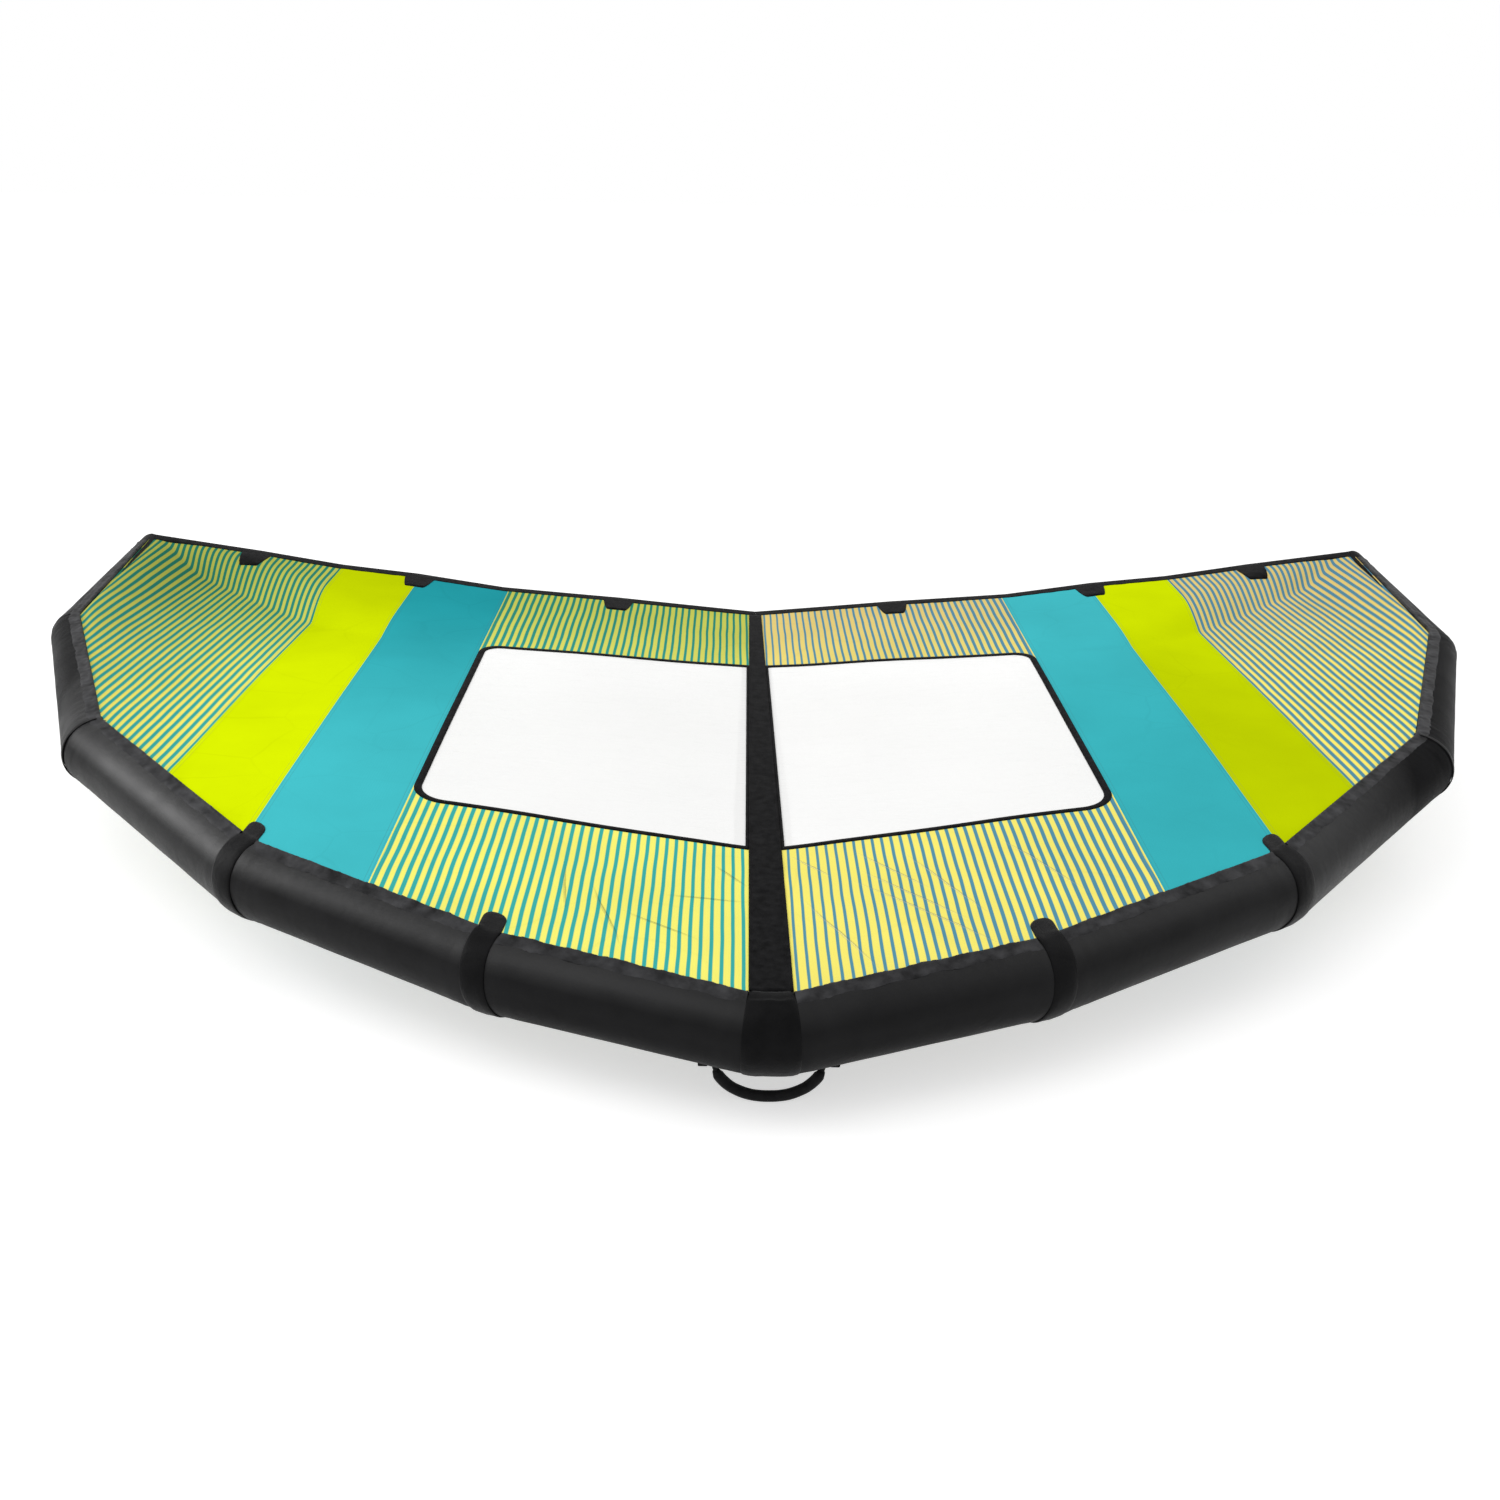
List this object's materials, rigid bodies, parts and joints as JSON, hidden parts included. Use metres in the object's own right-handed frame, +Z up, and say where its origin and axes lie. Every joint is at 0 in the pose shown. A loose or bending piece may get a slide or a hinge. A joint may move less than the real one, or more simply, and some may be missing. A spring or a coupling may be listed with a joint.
{
  "type": "wingfoil wing",
  "caption": "Hand-held inflatable wing for foil boarding: a curved leading edge tube, a central strut with handles, and a panelled canopy with windows.",
  "frame": {"origin": "middle of the seam between the canopy and the leading edge, at the strut's front", "axes": "+Z up through the canopy, +X across the span, +Y from the leading edge to the trailing edge"},
  "size_m": [3.3458, 2.1685, 0.3832],
  "materials": {
    "tube_cloth": "woven polyester, dull sheen",
    "collar_cloth": "coated patch cloth",
    "seam_piping": "gathered seam tape",
    "black_tape": "matt tape",
    "striped_cloth": "ripstop, printed stripes",
    "teal_cloth": "ripstop",
    "lime_cloth": "ripstop",
    "window_film": "clear soft film",
    "bladder_film": "milky film",
    "webbing": "woven webbing",
    "handle_pad": "soft foam",
    "valve_plastic": "moulded"
  },
  "bodies": {
    "wing": {"le_centre": "tube_cloth", "strut_shell": "tube_cloth", "le_cuff": "tube_cloth", "le_segment_1_left": "tube_cloth", "le_segment_2_left": "tube_cloth", "le_segment_3_left": "tube_cloth", "le_segment_4_left": "tube_cloth", "le_tip_left": "tube_cloth", "le_segment_1_right": "tube_cloth", "le_segment_2_right": "tube_cloth", "le_segment_3_right": "tube_cloth", "le_segment_4_right": "tube_cloth", "le_tip_right": "tube_cloth", "collar_1_left": "collar_cloth", "collar_1_right": "collar_cloth", "collar_2_left": "collar_cloth", "collar_2_right": "collar_cloth", "seam_band_left": "collar_cloth", "seam_band_right": "collar_cloth", "seam_piping_inner_left": "seam_piping", "seam_piping_inner_right": "seam_piping", "seam_piping_middle_left": "seam_piping", "seam_piping_middle_right": "seam_piping", "seam_piping_outer_left": "seam_piping", "seam_piping_outer_right": "seam_piping", "window_frame_left": "black_tape", "window_frame_right": "black_tape", "hem_tape_left": "black_tape", "hem_tape_right": "black_tape", "strut_strip": "black_tape", "striped_front_left": "striped_cloth", "striped_front_right": "striped_cloth", "striped_rear_left": "striped_cloth", "striped_rear_right": "striped_cloth", "striped_tip_left": "striped_cloth", "striped_tip_right": "striped_cloth", "teal_band_left": "teal_cloth", "teal_band_right": "teal_cloth", "lime_band_left": "lime_cloth", "lime_band_right": "lime_cloth", "window_film_left": "window_film", "window_film_right": "window_film", "le_bladder": "bladder_film", "strut_bladder": "bladder_film", "belly_strip": "webbing", "leash_loop": "webbing", "le_handle_anchor_left": "webbing", "le_handle_anchor_right": "webbing", "le_valve_body": "valve_plastic", "strut_valve_body": "valve_plastic"},
    "le_handle": {"le_handle_rope": "webbing", "le_handle_sleeve": "handle_pad"},
    "strut_handle_front": {"strut_handle_1_rope": "webbing", "strut_handle_1_sleeve": "handle_pad"},
    "strut_handle_rear": {"strut_handle_2_rope": "webbing", "strut_handle_2_sleeve": "handle_pad"},
    "le_valve_cap": {"le_valve_cap": "valve_plastic"},
    "le_valve_plunger": {"le_valve_plunger": "valve_plastic"},
    "strut_valve_cap": {"strut_valve_cap": "valve_plastic"},
    "strut_valve_plunger": {"strut_valve_plunger": "valve_plastic"}
  },
  "joints": [
    {"name": "le_handle_swing", "type": "hinge", "parent": "wing", "child": "le_handle", "pos_m": [0, 0.02322, -0.13809], "axis": [1, 0, 0], "range_deg": [-70, 70]},
    {"name": "strut_handle_front_swing", "type": "hinge", "parent": "wing", "child": "strut_handle_front", "pos_m": [0, 0.6, -0.1212], "axis": [0, 1, 0], "range_deg": [-65, 65]},
    {"name": "strut_handle_rear_swing", "type": "hinge", "parent": "wing", "child": "strut_handle_rear", "pos_m": [0, 1.26031, -0.09949], "axis": [0, 0.9989, 0.0471], "range_deg": [-65, 65]},
    {"name": "le_valve_cap_open", "type": "hinge", "parent": "wing", "child": "le_valve_cap", "pos_m": [0.21794, 0.12114, -0.10945], "axis": [0.263, -0.6576, -0.7059], "range_deg": [0, 110]},
    {"name": "le_valve_push", "type": "slide", "parent": "wing", "child": "le_valve_plunger", "axis": [0.2084, -0.6757, 0.7071], "range_m": [0, 0.005], "stiffness_N_per_m": 150, "springref_m": -0.002},
    {"name": "strut_valve_cap_open", "type": "hinge", "parent": "wing", "child": "strut_valve_cap", "pos_m": [0.05296, 0.321, -0.08798], "axis": [0.5, 0, 0.866], "range_deg": [0, 110]},
    {"name": "strut_valve_push", "type": "slide", "parent": "wing", "child": "strut_valve_plunger", "axis": [-0.866, 0, 0.5], "range_m": [0, 0.005], "stiffness_N_per_m": 150, "springref_m": -0.002}
  ]
}
